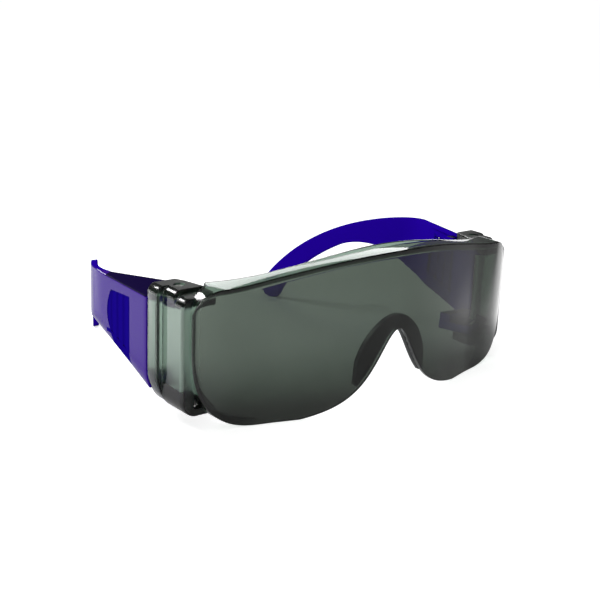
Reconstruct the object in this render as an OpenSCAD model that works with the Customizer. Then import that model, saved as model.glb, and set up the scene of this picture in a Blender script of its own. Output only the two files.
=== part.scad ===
// Over-spectacle welding glasses: a one-piece tinted shield, a soft nose
// saddle and two folding temples on four hinge pins.
// Frame: X to the wearer's left-right axis, +Y from the lens towards the ears,
// +Z up, origin at the middle of the footprint on the surface it stands on.

/* [Lens] */
// Width of the lens face between its side edges
lens_w = 144; // [136:1:150]
// Height of the lens face on the centre line
lens_h = 56; // [53:1:59]
// Thickness of the lens wall
lens_t = 2.2; // [1.8:0.1:2.6]
// Slope that the lens face sweeps back to at its sides
lens_sweep = 0.347; // [0.32:0.005:0.37]
// Length over which the face turns from flat to swept
lens_crown = 19; // [16:0.5:22]
// Radius of the upper corners of the lens face
lens_corner_r = 10; // [8:0.5:12]
// Fall of the brow line from the centre to the side edge
brow_fall = 8.5; // [7:0.5:10]
// Extra early fall that rounds the brow line
brow_round = 9.9; // [8:0.1:11]
// Half-length of the flat land that each lobe stands on
land_half = 5; // [3:0.5:6]
// Distance from the centre line to the middle of a land
land_x = 41; // [38:0.5:44]

/* [Nose arch] */
// Height of the nose arch above the lobes
arch_h = 28.1; // [25:0.1:30]
// Half-width of the arch at half its height
arch_half_w = 11.9; // [10:0.1:13]

/* [Brow shelf] */
// Depth of the shelf on the centre line
shelf_depth = 11.5; // [10:0.5:13]
// Extra depth of the shelf at the lens corners
shelf_sweep = 14; // [12:0.5:15]
// Thickness of the shelf
shelf_t = 2; // [1.6:0.1:2.4]
// Depth of the recessed ledge along the rear of the shelf
ledge_drop = 1; // [0.6:0.1:1.2]
// Half-length of the recessed ledge
ledge_half_l = 36; // [30:1:40]
// Width of the ledge on the centre line
ledge_w = 3.6; // [3:0.1:4.5]
// Width of the raised lip behind the ledge
ledge_lip = 1.1; // [0.8:0.1:1.5]

/* [Side box] */
// How far the side window stands outside the lens's side edge
window_out = 2.2; // [2:0.1:2.8]
// Thickness of the side window
window_t = 1.4; // [1:0.1:1.6]
// How far the rear rim stands outside the lens's side edge
rim_out = 4.4; // [4:0.1:5]
// Thickness of the rear rim
rim_t = 1.8; // [1.4:0.1:2]
// Width of the rear rim, front to back
rim_w = 6; // [5:0.25:7]
// Rear face of the rim, behind the front of the lens
rim_rear = 39.6; // [38.6:0.1:40.6]
// Height of the top of the upper hinge lug
lug_top = 46; // [45:0.25:46.5]
// Height of the underside of the lower hinge lug
lug_bottom = 4; // [3:0.25:4.5]
// Thickness of both hinge lugs
lug_t = 3.2; // [2.8:0.1:3.6]
// Radius of the rounded upper edge of the side box
box_top_r = 3; // [2:0.25:4]
// Radius of the rounded lower edge of the side window
box_low_r = 5.5; // [4.5:0.25:6]
// Width of the rear rim's rounded lower corner
rim_low_w = 8.5; // [7.5:0.25:9]
// Height of the rear rim's rounded lower corner
rim_low_h = 13; // [11:0.5:14]
// Depth of the step between the lug and the lens corner
step_drop = 1.6; // [1.2:0.1:1.8]

/* [Hinge] */
// How far the hinge axis lies inside the lens's side edge
hinge_in = 3.4; // [3.2:0.1:3.8]
// Distance of the hinge axis ahead of the rim's rear face
hinge_setback = 7.1; // [6.8:0.1:7.3]
// Diameter of a hinge pin
pin_d = 4; // [3:0.1:4.2]
// Depth of a pin's end below the lug's face
pin_recess = 0.6; // [0.4:0.1:1]
// Radial clearance of a pin in a temple ear
pin_clear = 0.05; // [0.03:0.01:0.08]
// Radial interference of a pin in the lug
pin_grip = 0.01; // [0.005:0.005:0.02]
// Outer radius of an ear
ear_r = 3.8; // [3.4:0.1:3.9]
// Thickness of an ear
ear_t = 3.4; // [2.8:0.1:3.8]
// Gap between an ear and its lug
ear_gap = 0.3; // [0.2:0.05:0.4]
// Gap between the temple's front edge and the rim
butt_gap = 0.4; // [0.3:0.05:0.6]

/* [Temples] */
// How far a temple stands outside the lens's side edge at the hinge
temple_side_out = 4.5; // [4:0.1:5]
// Thickness of a temple
temple_t = 2.4; // [2:0.1:2.8]
// Height of the temple's top edge at the start of its arc
temple_top = 43.6; // [42.8:0.1:44]
// Rise of the top edge from there to its front end
temple_front_rise = 1.6; // [1:0.1:2]
// Radius of the arc that the top edge follows down to the tip
temple_arc_r = 74.7; // [72:0.1:78]
// Start of that arc behind the front of the lens
temple_arc_y = 69.5; // [67:0.1:72]
// Height of the hook's band
hook_h = 7.1; // [6:0.1:8.5]
// Height of the blade's lower front corner
blade_foot = 8.8; // [8.4:0.1:9.4]
// Rise of the blade's lower edge per millimetre at its front end
blade_rise = 0.53; // [0.5:0.01:0.55]
// Width of the blade's rounded lower corner, which carries on from the rim's
blade_low_w = 8.6; // [7.5:0.1:9]
// Height of that rounded corner
blade_low_h = 13; // [11:0.5:14]
// Thickness of the blade's lower edge
blade_lip = 0.8; // [0.7:0.1:1.2]
// Outward lean of the blade, in degrees
blade_lean = 3.8; // [3:0.1:4.4]
// Inward heading of the hook, in degrees
hook_heading = 29.4; // [28.4:0.1:30.4]
// Drop of the shoulder from its inner edge to the blade's outer face
shoulder_drop = 4.2; // [3:0.1:5]
// Width of the shoulder at the hinge
shoulder_w = 9.5; // [8:0.1:10]
// Thickness of the shoulder
shoulder_t = 2.2; // [1.8:0.1:2.6]
// Rear end of the shoulder behind the front of the lens
shoulder_end = 63.5; // [61:0.5:65]
// Rise of the shoulder towards its rear end, in degrees
shoulder_tilt = 6.2; // [5.6:0.1:6.8]

/* [Side vent] */
// Front edge of the louvred vent behind the front of the lens
vent_y = 49.5; // [48.5:0.5:51]
// Radius of the vent's rounded rear edge
vent_r = 13.4; // [12:0.1:14.2]
// Height of the vent's top edge
vent_top = 38.6; // [37:0.1:39]
// Margin between the vent and the blade's lower edge
vent_margin = 5; // [4:0.1:6]
// Distance between neighbouring louvres
louvre_pitch = 3.6; // [3.2:0.1:4.2]
// Thickness of a louvre
louvre_t = 1.1; // [0.9:0.1:1.3]
// Angle of a louvre to the blade, in degrees
louvre_angle = 38; // [30:1:45]

/* [Nose saddle] */
// Width of the saddle's flange, out from the nose arch
saddle_w = 6.9; // [6:0.1:8]
// Thickness of the saddle behind the lens
saddle_depth = 2.4; // [2:0.1:4]
// Width that the flange tapers to at the ends of its legs
saddle_end_w = 2; // [1.4:0.1:3]
// Half-width of the saddle where its legs end
saddle_half_w = 15.5; // [14:0.5:18]
// Gap between the saddle and the lens
saddle_gap = 0.15; // [0.1:0.05:0.3]

/* [Hidden] */

steps = 14;              // points along each curved stretch of the outline
half_w = lens_w / 2;
window_x = half_w + window_out;   // outside of the side window
rim_x = half_w + rim_out;         // outside of the rear rim
hinge_x = half_w - hinge_in;      // axis of the pins
temple_x = half_w + temple_side_out; // outside of a temple at its front edge
land_in = land_x - land_half;
land_out = land_x + land_half;
side_z = 0.546 * lens_h;          // height where the side edge turns into the lobe
lobe_power = 3;                   // squareness of the lobe's outer corner
shelf_power = 2.6;                // how late the shelf's rear edge turns back
corner_x = half_w - lens_corner_r;
box_in_x = corner_x;              // inner end of the hinge lugs
hinge_y = rim_rear - hinge_setback;
rim_front = rim_rear - rim_w;
web_y = lens_face(half_w) + 3;    // front wall of the side box
step_end = hinge_y - 5.7;         // front edge of the raised lug
blade_y = rim_rear + butt_gap;
rim_mid_x = rim_x - rim_low_w;    // centre of the rim's rounded lower corner
arc_z = temple_top - temple_arc_r;
hook_mid_r = temple_arc_r - hook_h / 2;
tip_angle = acos((hook_h / 2 - arc_z) / hook_mid_r);
tip_y = temple_arc_y + hook_mid_r * sin(tip_angle);
overall_d = tip_y + hook_h / 2;
notch_from = temple_arc_y + 12.6; // ends of the fillet between blade and hook
notch_to = temple_arc_y + 33.6;
inner_arc_r = temple_arc_r - hook_h;
upper_ear_z = lug_top - lug_t - ear_gap - ear_t;
lower_ear_z = lug_bottom + lug_t + ear_gap;
ear_reach = 4;                    // run of an ear's root past the blade's edge
far = 200;                        // longer than any piece
round_fn = 48;

// Curves of the lens

function lens_face(x) = lens_sweep * (sqrt(x * x + lens_crown * lens_crown) - lens_crown);
function brow_line(x) = lens_h - (brow_fall + brow_round) * pow(x / half_w, 2)
                        + brow_round * pow(x / half_w, 4);
function bell(x) = 1 / (1 + pow(x / arch_half_w, 2));
function arch_line(x) = arch_h * (bell(x) - bell(land_in)) / (1 - bell(land_in));
function shelf_rear(x) = shelf_depth + shelf_sweep * pow(x / corner_x, shelf_power);

// Right half of the lens outline, from the arch round to the brow's middle;
// inset draws the side and the top that much further in
function half_outline(inset) = let (
        a = half_w - land_out - inset,
        b = side_z - inset,
        r = lens_corner_r - inset,
        corner_z = brow_line(corner_x) - lens_corner_r)
    concat(
        [for (i = [0 : 2 * steps - 1]) let (x = land_in * i / (2 * steps)) [x, arch_line(x)]],
        [[land_in, inset], [land_out, inset]],
        [for (i = [1 : steps]) let (t = 90 * i / steps)
            [land_out + a * pow(sin(t), 2 / lobe_power), side_z - b * pow(cos(t), 2 / lobe_power)]],
        [for (i = [0 : steps / 2]) let (t = 90 * i / (steps / 2))
            [corner_x + r * cos(t), corner_z + r * sin(t)]],
        [for (i = [1 : steps]) let (x = corner_x * (1 - i / steps)) [x, brow_line(x) - inset]]);

function mirrored(points) = [for (i = [len(points) - 1 : -1 : 0]) [-points[i][0], points[i][1]]];

// Curves of the temple

function smooth(from, to, y) = let (t = min(max((y - from) / (to - from), 0), 1)) t * t * (3 - 2 * t);
function heading(y) = (blade_lean + hook_heading) * smooth(temple_arc_y - 5.6, temple_arc_y + 12.3, y)
    - blade_lean;
path_step = 2;
function path_y(i) = blade_y + path_step * i;
function path_x(i) = i <= 0 ? temple_x
    : path_x(i - 1) - path_step * tan(heading(path_y(i) - path_step / 2));
path_n = ceil((overall_d + 2 - blade_y) / path_step);
path_xs = [for (i = [0 : path_n]) path_x(i)];
function temple_out(y) = lookup(y, [for (i = [0 : path_n]) [path_y(i), path_xs[i]]]);
function blade_edge(y) = blade_foot + blade_rise * (y - blade_y) - 0.0022 * pow(y - blade_y, 2);
function hook_inner(y) = arc_z + sqrt(inner_arc_r * inner_arc_r - pow(y - temple_arc_y, 2));
function blend(a, b, c, t) = (1 - t) * (1 - t) * a + 2 * t * (1 - t) * b + t * t * c;

// Moves a piece from the lens's own origin to the middle of the footprint
module placed() {
    translate([0, -overall_d / 2, 0]) children();
}

// Draws an outline of the X-Z plane as a bar along Y
module along_y(from, to) {
    translate([0, to, 0]) rotate([90, 0, 0]) linear_extrude(to - from) children();
}

// Draws an outline of the Y-Z plane as a bar along X
module along_x(from, to) {
    translate([from, 0, 0]) rotate([90, 0, 90]) linear_extrude(to - from) children();
}

module both_sides() {
    children();
    mirror([1, 0, 0]) children();
}

// Outline of the lens face, with its nose arch
module lens_outline(inset = 0) {
    half = half_outline(inset);
    polygon(concat(half, mirrored(half)));
}

// Strip in plan between two curves behind the lens face
module lens_strip(depth) {
    xs = [for (i = [-2 * steps : 2 * steps]) half_w * i / (2 * steps)];
    polygon(concat([for (x = xs) [x, lens_face(x)]],
                   [for (i = [len(xs) - 1 : -1 : 0]) [xs[i], lens_face(xs[i]) + depth]]));
}

module lens_wall() {
    intersection() {
        along_y(-1, far) lens_outline();
        linear_extrude(far) lens_strip(lens_t);
    }
}

// Rim of the lens outline, as a wall that runs back from the face
module outline_rim(thickness) {
    along_y(0, far) difference() {
        lens_outline();
        intersection() {
            lens_outline(thickness);
            translate([-far, thickness]) square([2 * far, far]);
        }
        translate([-land_out, -1]) square([2 * land_out, side_z]);
    }
}

// Shelf of the brow, in plan
module shelf_plan() {
    edge = corner_x + 2;
    xs = [for (i = [-2 * steps : 2 * steps]) edge * i / (2 * steps)];
    polygon(concat([for (x = xs) [x, lens_face(x)]],
                   [for (i = [len(xs) - 1 : -1 : 0]) [xs[i], shelf_rear(abs(xs[i]))]]));
}

// Long lens-shaped recess along the rear edge of the shelf, in plan
module ledge_plan() {
    xs = [for (i = [-2 * steps : 2 * steps]) ledge_half_l * i / (2 * steps)];
    function swell(x) = ledge_w * (1 - pow(x / ledge_half_l, 2));
    polygon(concat([for (x = xs) [x, shelf_rear(abs(x)) - ledge_lip]],
                   [for (i = [len(xs) - 1 : -1 : 0])
                       [xs[i], shelf_rear(abs(xs[i])) - ledge_lip - swell(xs[i])]]));
}

module brow_shelf() {
    difference() {
        intersection() {
            outline_rim(shelf_t);
            linear_extrude(far) shelf_plan();
            translate([-far, 0, side_z]) cube(far * 2);
        }
        intersection() {
            along_y(0, far) difference() {
                translate([-half_w, side_z]) square([lens_w, far]);
                lens_outline(ledge_drop);
            }
            linear_extrude(far) ledge_plan();
        }
    }
}

// Step wall round the side and the lower corner of the lens
module step_wall() {
    root_x = land_out + 4;
    intersection() {
        outline_rim(lens_t);
        linear_extrude(far) polygon([
            [root_x, lens_face(root_x)], [corner_x + 2, lens_face(corner_x + 2)],
            [half_w + 1, lens_face(half_w + 1)], [half_w + 1, web_y + lens_t],
            [corner_x + 2, web_y + lens_t], [root_x, lens_face(root_x) + lens_t]]);
    }
}

// Section of the side box: a channel, open towards the face
module box_section(x, wall, inner_x, top) {
    difference() {
        box_outline(x, inner_x, top, box_low_r, box_low_r);
        translate([inner_x - 1, lug_bottom + lug_t])
            square([x - wall - inner_x + 1, top - lug_t - lug_bottom - lug_t]);
    }
}

module box_outline(x, inner_x, top, low_w, low_h) {
    quarter = [for (i = [0 : steps / 2]) 90 * i / (steps / 2)];
    polygon(concat(
        [[inner_x, top]],
        [for (t = quarter) [x - box_top_r + box_top_r * sin(t), top - box_top_r + box_top_r * cos(t)]],
        [for (t = quarter) [x - low_w + low_w * cos(t), lug_bottom + low_h - low_h * sin(t)]],
        [[inner_x, lug_bottom]]));
}

// Limits of the side box in plan: the lugs are rounded about the hinge axis
// behind, so that the temple's front edge clears them as it folds
module box_plan() {
    lug_in = ear_r + 0.8;
    turn = asin(lug_in / hinge_setback);
    polygon(concat(
        [[box_in_x, web_y - 2], [far, web_y - 2], [far, rim_rear + 1], [hinge_x, rim_rear + 1]],
        [for (i = [0 : steps / 2]) let (t = turn * i / (steps / 2))
            [hinge_x - hinge_setback * sin(t), hinge_y + hinge_setback * cos(t)]],
        [[hinge_x - lug_in, hinge_y + 2], [box_in_x, shelf_rear(box_in_x)]]));
}

// Side window, rear rim and hinge lugs of the right side
module side_box() {
    intersection() {
        union() {
            along_y(web_y, step_end) box_section(window_x, window_t, box_in_x, lug_top - step_drop);
            along_y(step_end, rim_rear) box_section(window_x, window_t, box_in_x, lug_top);
            along_y(rim_front, rim_rear) difference() {
                box_outline(rim_x, box_in_x, lug_top, rim_low_w, rim_low_h);
                translate([box_in_x - 1, lug_bottom + lug_t])
                    square([window_x - window_t - box_in_x + 1, lug_top - lug_bottom - 2 * lug_t]);
            }
        }
        linear_extrude(far) box_plan();
    }
}

// Hollow of the rear rim, which leaves a thin wall and a front web
module rim_hollow() {
    w = rim_low_w - rim_t;
    h = rim_low_h - lug_t;
    along_y(rim_front + window_t, rim_rear + 1) polygon(concat(
        [[window_x - window_t - 1, lug_top - lug_t], [rim_x - rim_t, lug_top - lug_t]],
        [for (i = [0 : steps / 2]) let (t = 45 * i / (steps / 2))
            [rim_mid_x + w * cos(t), lug_bottom + rim_low_h - h * sin(t)]],
        [[window_x - window_t - 1, lug_bottom + rim_low_h - h * sin(45)]]));
}

// Wall that joins the step wall of the lens to the side box
module box_front() {
    intersection() {
        along_y(web_y - window_t, web_y + window_t) difference() {
            box_outline(window_x, box_in_x, lug_top - step_drop, box_low_r, box_low_r);
            lens_outline(lens_t);
        }
        linear_extrude(far) box_plan();
    }
}

module visor() {
    color([0.62, 0.72, 0.66, 0.75]) placed() difference() {
        union() {
            lens_wall();
            brow_shelf();
            both_sides() {
                step_wall();
                side_box();
                box_front();
            }
        }
        both_sides() {
            rim_hollow();
            translate([hinge_x, hinge_y, -1])
                cylinder(h = lens_h, r = pin_d / 2 - pin_grip, $fn = round_fn);
        }
    }
}

// Nose saddle: a flange behind the lens, lofted along its nose arch

saddle_n = 32;
saddle_m = 5;
function arch_slope(x) = (arch_line(abs(x + 0.05)) - arch_line(abs(x - 0.05))) / 0.1;
function arch_normal(x) = let (s = arch_slope(x)) [-s, 1] / sqrt(s * s + 1);
function saddle_reach(x) = let (t = max(abs(x) / saddle_half_w - 0.75, 0) / 0.25)
    saddle_end_w + (saddle_w - saddle_end_w) * sqrt(max(1 - t * t, 0));
function saddle_point(x, out, back) = let (
        n = arch_normal(x),
        px = x + n[0] * out)
    [px, lens_face(px) + lens_t + saddle_gap + back * saddle_depth, arch_line(abs(x)) + n[1] * out];
saddle_xs = [for (i = [0 : saddle_n]) let (t = 2 * i / saddle_n - 1)
    saddle_half_w * sign(t) * pow(abs(t), 1.25)];

module nose_saddle() {
    ring = 2 * (saddle_m + 1);
    points = [for (x = saddle_xs) each concat(
        [for (j = [0 : saddle_m]) saddle_point(x, 0.1 + saddle_reach(x) * j / saddle_m, 1)],
        [for (j = [saddle_m : -1 : 0]) saddle_point(x, 0.1 + saddle_reach(x) * j / saddle_m, 0)])];
    faces = concat(
        [for (i = [0 : saddle_n - 1], j = [0 : ring - 1]) let (
            a = i * ring + j, b = i * ring + (j + 1) % ring) [a, b, b + ring]],
        [for (i = [0 : saddle_n - 1], j = [0 : ring - 1]) let (
            a = i * ring + j, b = i * ring + (j + 1) % ring) [a, b + ring, a + ring]],
        [for (j = [1 : ring - 2]) [0, j + 1, j]],
        [for (j = [1 : ring - 2]) let (e = saddle_n * ring) [e, e + j, e + j + 1]]);
    color([0.1, 0.1, 0.11]) placed() polyhedron(points, faces);
}

// Temple, drawn for the right side

// Side view of a temple: blade, hook and rounded tip
module temple_side() {
    corner_z = hook_inner((notch_from + notch_to) / 2);
    polygon(concat(
        [for (i = [0 : steps]) let (y = blade_y + (notch_from - blade_y) * i / steps) [y, blade_edge(y)]],
        [for (i = [1 : steps]) let (t = i / steps)
            [blend(notch_from, temple_arc_y + 22.5, notch_to, t),
             blend(blade_edge(notch_from), corner_z, hook_inner(notch_to), t)]],
        [for (i = [1 : steps]) let (
            from = asin((notch_to - temple_arc_y) / inner_arc_r),
            t = from + (tip_angle - from) * i / steps)
            [temple_arc_y + inner_arc_r * sin(t), arc_z + inner_arc_r * cos(t)]],
        [for (i = [1 : steps - 1]) let (t = tip_angle + 180 - 180 * i / steps)
            [tip_y + hook_h / 2 * sin(t), hook_h / 2 + hook_h / 2 * cos(t)]],
        [for (i = [2 * steps : -1 : 0]) let (t = tip_angle * i / (2 * steps))
            [temple_arc_y + temple_arc_r * sin(t), arc_z + temple_arc_r * cos(t)]],
        [[blade_y, temple_top + temple_front_rise]]));
}

// Wall of a temple in plan
module temple_plan() {
    function lean(i) = temple_t / cos(heading(path_y(i)));
    polygon(concat([for (i = [0 : path_n]) [path_xs[i], path_y(i)]],
                   [for (i = [path_n : -1 : 0]) [path_xs[i] - lean(i), path_y(i)]]));
}

shoulder_slope = shoulder_drop / shoulder_w;
shoulder_z = temple_top + temple_front_rise - shoulder_drop;  // its outer edge at the front
module shoulder_section(thickness) {
    rise = shoulder_slope * temple_x;
    fall = 4 * shoulder_slope;
    polygon([[temple_x + 4, shoulder_z - fall], [0, shoulder_z + rise],
             [0, shoulder_z + rise - thickness], [temple_x + 4, shoulder_z - fall - thickness]]);
}

// Bar under the shoulder's sloping top, which rises towards the rear
module shoulder_bar(thickness) {
    translate([0, blade_y, shoulder_z]) rotate([shoulder_tilt, 0, 0])
        translate([0, -blade_y, -shoulder_z]) along_y(0, far) shoulder_section(thickness);
}

module shoulder_plan() {
    ys = [for (i = [0 : steps]) blade_y + (shoulder_end - blade_y) * i / steps];
    polygon(concat([for (y = ys) [temple_out(y), y]],
                   [[temple_out(shoulder_end) - temple_t, shoulder_end], [temple_x - shoulder_w, blade_y]]));
}

// Outline of the louvred vent in the side view
module vent_side(grow = 0) {
    vent_mid = vent_top - 7.8;
    intersection() {
        translate([vent_y, vent_mid]) circle(r = vent_r + grow, $fn = round_fn);
        translate([vent_y - grow, 0]) square([vent_r + 2 * grow, vent_top + grow]);
        polygon(concat(
            [for (i = [0 : steps]) let (y = vent_y - 2 + (vent_r + 4) * i / steps)
                [y, blade_edge(y) + vent_margin - grow]],
            [[vent_y + vent_r + 2, lens_h], [vent_y - 2, lens_h]]));
    }
}

module louvres() {
    count = floor(vent_r / louvre_pitch);
    reach = temple_t / sin(louvre_angle);
    intersection() {
        linear_extrude(far) temple_plan();
        along_x(0, far) vent_side(0.4);
        for (i = [0 : count]) let (y = vent_y + louvre_pitch * (i + 0.2))
            translate([temple_out(y) - temple_t / 2, y, 0]) rotate([0, 0, -louvre_angle])
                translate([-louvre_t / 2, -reach, 0]) cube([louvre_t, 2 * reach, lens_h]);
    }
}

// Cutter along the blade's lower outer edge, which it rounds; the temple turns
// inwards and away from it at the hook
module blade_corner() {
    run = 50;
    slope = atan(0.915 * blade_rise);
    lean = atan(tan(blade_lean) * cos(slope));
    turn = 1 - (temple_t - blade_lip) / blade_low_w;
    lift = blade_low_h * (1 - sqrt(1 - turn * turn));
    high = blade_low_h * cos(slope);
    translate([temple_x + 0.02, blade_y, blade_foot - lift]) rotate([slope, 0, 0]) rotate([0, 0, -lean])
        translate([0, run, 0]) rotate([90, 0, 0]) linear_extrude(run + 10) polygon(concat(
            [[4, high]],
            [for (j = [0 : steps]) let (t = 90 * j / steps)
                [blade_low_w * (cos(t) - 1), high * (1 - sin(t))]],
            [[4, -4]]));
}

module blade() {
    difference() {
        union() {
            intersection() {
                difference() {
                    linear_extrude(far) temple_plan();
                    along_x(0, far) vent_side();
                }
                along_x(0, far) temple_side();
                shoulder_bar(far);
            }
            louvres();
        }
        blade_corner();
    }
}

module shoulder() {
    intersection() {
        shoulder_bar(shoulder_t);
        linear_extrude(far) shoulder_plan();
        along_x(0, far) temple_side();
    }
}

// Ear that reaches forward to the hinge axis, with its root on the temple
module ear(z, root_x, root_foot, root_top) {
    translate([hinge_x, hinge_y, z]) cylinder(h = ear_t, r = ear_r, $fn = round_fn);
    translate([hinge_x - ear_r, hinge_y, z]) cube([2 * ear_r, blade_y - hinge_y + ear_reach, ear_t]);
    intersection() {
        translate([hinge_x - ear_r, blade_y, root_foot])
            cube([root_x - hinge_x + ear_r, ear_reach, root_top - root_foot]);
        shoulder_bar(far);
        cube([far, far, temple_top]);
    }
}

module temple() {
    difference() {
        union() {
            blade();
            shoulder();
            ear(upper_ear_z, hinge_x + ear_r, upper_ear_z, lens_h);
            ear(lower_ear_z, temple_x - temple_t + 0.4, lower_ear_z + ear_t - 0.5, lower_ear_z + ear_t + 3);
        }
        translate([hinge_x, hinge_y, -1])
            cylinder(h = lens_h, r = pin_d / 2 + pin_clear, $fn = round_fn);
    }
}

module right_temple() {
    color([0.3, 0.15, 0.75]) placed() temple();
}

module left_temple() {
    color([0.3, 0.15, 0.75]) placed() mirror([1, 0, 0]) temple();
}

// Pin through one lug and one ear
module upper_pin() {
    color("silver") placed() translate([hinge_x, hinge_y, upper_ear_z])
        cylinder(h = lug_top - pin_recess - upper_ear_z, d = pin_d, $fn = round_fn);
}

module lower_pin() {
    color("silver") placed() translate([hinge_x, hinge_y, lug_bottom + pin_recess])
        cylinder(h = lower_ear_z + ear_t - lug_bottom - pin_recess, d = pin_d, $fn = round_fn);
}

module right_upper_pin() {
    upper_pin();
}

module right_lower_pin() {
    lower_pin();
}

module left_upper_pin() {
    mirror([1, 0, 0]) upper_pin();
}

module left_lower_pin() {
    mirror([1, 0, 0]) lower_pin();
}

visor();
nose_saddle();
right_temple();
left_temple();
right_upper_pin();
right_lower_pin();
left_upper_pin();
left_lower_pin();
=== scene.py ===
"""Over-spectacle welding glasses: a tinted one-piece shield, a soft nose saddle
and two louvred violet temples, dressed in moulded plastic for a studio view."""

import logging
import math
from collections.abc import Callable, Sequence
from dataclasses import dataclass, field
from enum import Enum

import bmesh
import bpy
from mathutils import Matrix, Vector

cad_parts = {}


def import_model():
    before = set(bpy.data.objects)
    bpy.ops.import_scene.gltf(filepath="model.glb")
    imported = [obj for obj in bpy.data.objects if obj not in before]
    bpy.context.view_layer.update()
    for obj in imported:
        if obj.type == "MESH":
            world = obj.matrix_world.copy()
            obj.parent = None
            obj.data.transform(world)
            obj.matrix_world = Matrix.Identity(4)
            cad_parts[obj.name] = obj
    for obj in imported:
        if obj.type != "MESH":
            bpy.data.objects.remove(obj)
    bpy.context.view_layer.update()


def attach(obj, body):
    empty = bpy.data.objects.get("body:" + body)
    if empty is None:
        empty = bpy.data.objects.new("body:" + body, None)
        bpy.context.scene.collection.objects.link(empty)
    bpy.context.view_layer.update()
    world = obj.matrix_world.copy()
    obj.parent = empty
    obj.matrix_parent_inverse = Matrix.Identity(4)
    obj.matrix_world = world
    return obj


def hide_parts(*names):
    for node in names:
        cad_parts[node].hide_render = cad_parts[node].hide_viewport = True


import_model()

LOG = logging.getLogger("welding_glasses")
MM = 0.001
HALF_DEPTH = 67.596  # half of the overall depth, which centres the glasses on Y
HINGE_X, HINGE_Y = 68.6, 32.5  # the axis of both pins of the right temple
Point = tuple[float, float, float]
Flat = tuple[float, float]
Colour = tuple[float, float, float]
Inputs = dict[str | int, bpy.types.NodeSocket | float | tuple[float, ...]]


class Side(Enum):
    """The wearer's side that a piece belongs to, as the sign of its X."""

    RIGHT = 1
    LEFT = -1

    @property
    def word(self) -> str:
        """Name of the side in lower case."""
        return self.name.lower()


class Body(Enum):
    """The moving bodies of the glasses."""

    SHIELD = "shield"
    RIGHT_ARM = "right_arm"
    LEFT_ARM = "left_arm"


class Zone(Enum):
    """Face attributes of the shield that its plastic reads."""

    # The lens's film, which also paints shade on the boxes' feet and lug tops
    FILM = "film"
    SATIN = "satin"


def world(point: Sequence[float]) -> Vector:
    """Turns a point in mm behind the lens front into the row frame in metres."""
    return Vector((point[0] * MM, (point[1] - HALF_DEPTH) * MM, point[2] * MM))


def clamp(value: float, low: float, high: float) -> float:
    """Keeps a value between two limits."""
    return max(low, min(high, value))


def smooth_step(low: float, high: float, value: float) -> float:
    """Rises smoothly from 0 at low to 1 at high."""
    t = clamp((value - low) / (high - low), 0.0, 1.0)
    return t * t * (3 - 2 * t)


def arc(steps: int, extent: float = 90) -> list[Flat]:
    """Sine and cosine at both ends and every step of an arc that starts at 0 degrees."""
    turns = [math.radians(extent * j / steps) for j in range(steps + 1)]
    return [(math.sin(t), math.cos(t)) for t in turns]


def resample(points: Sequence[Flat], step: float) -> list[Flat]:
    """Spaces points evenly along an open curve.

    Args:
        points: The curve's own dense points.
        step: Distance wanted between two points.

    Returns:
        Points from the first to the last, evenly spaced.
    """
    lengths = [0.0]
    for a, b in zip(points, points[1:]):
        lengths.append(lengths[-1] + math.dist(a, b))
    count = max(2, round(lengths[-1] / step))
    result, j = [], 0
    for i in range(count + 1):
        want = lengths[-1] * i / count
        while j < len(points) - 2 and lengths[j + 1] < want:
            j += 1
        span = max(lengths[j + 1] - lengths[j], 1e-9)
        t = (want - lengths[j]) / span
        a, b = points[j], points[j + 1]
        result.append((a[0] + (b[0] - a[0]) * t, a[1] + (b[1] - a[1]) * t))
    return result


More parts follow.
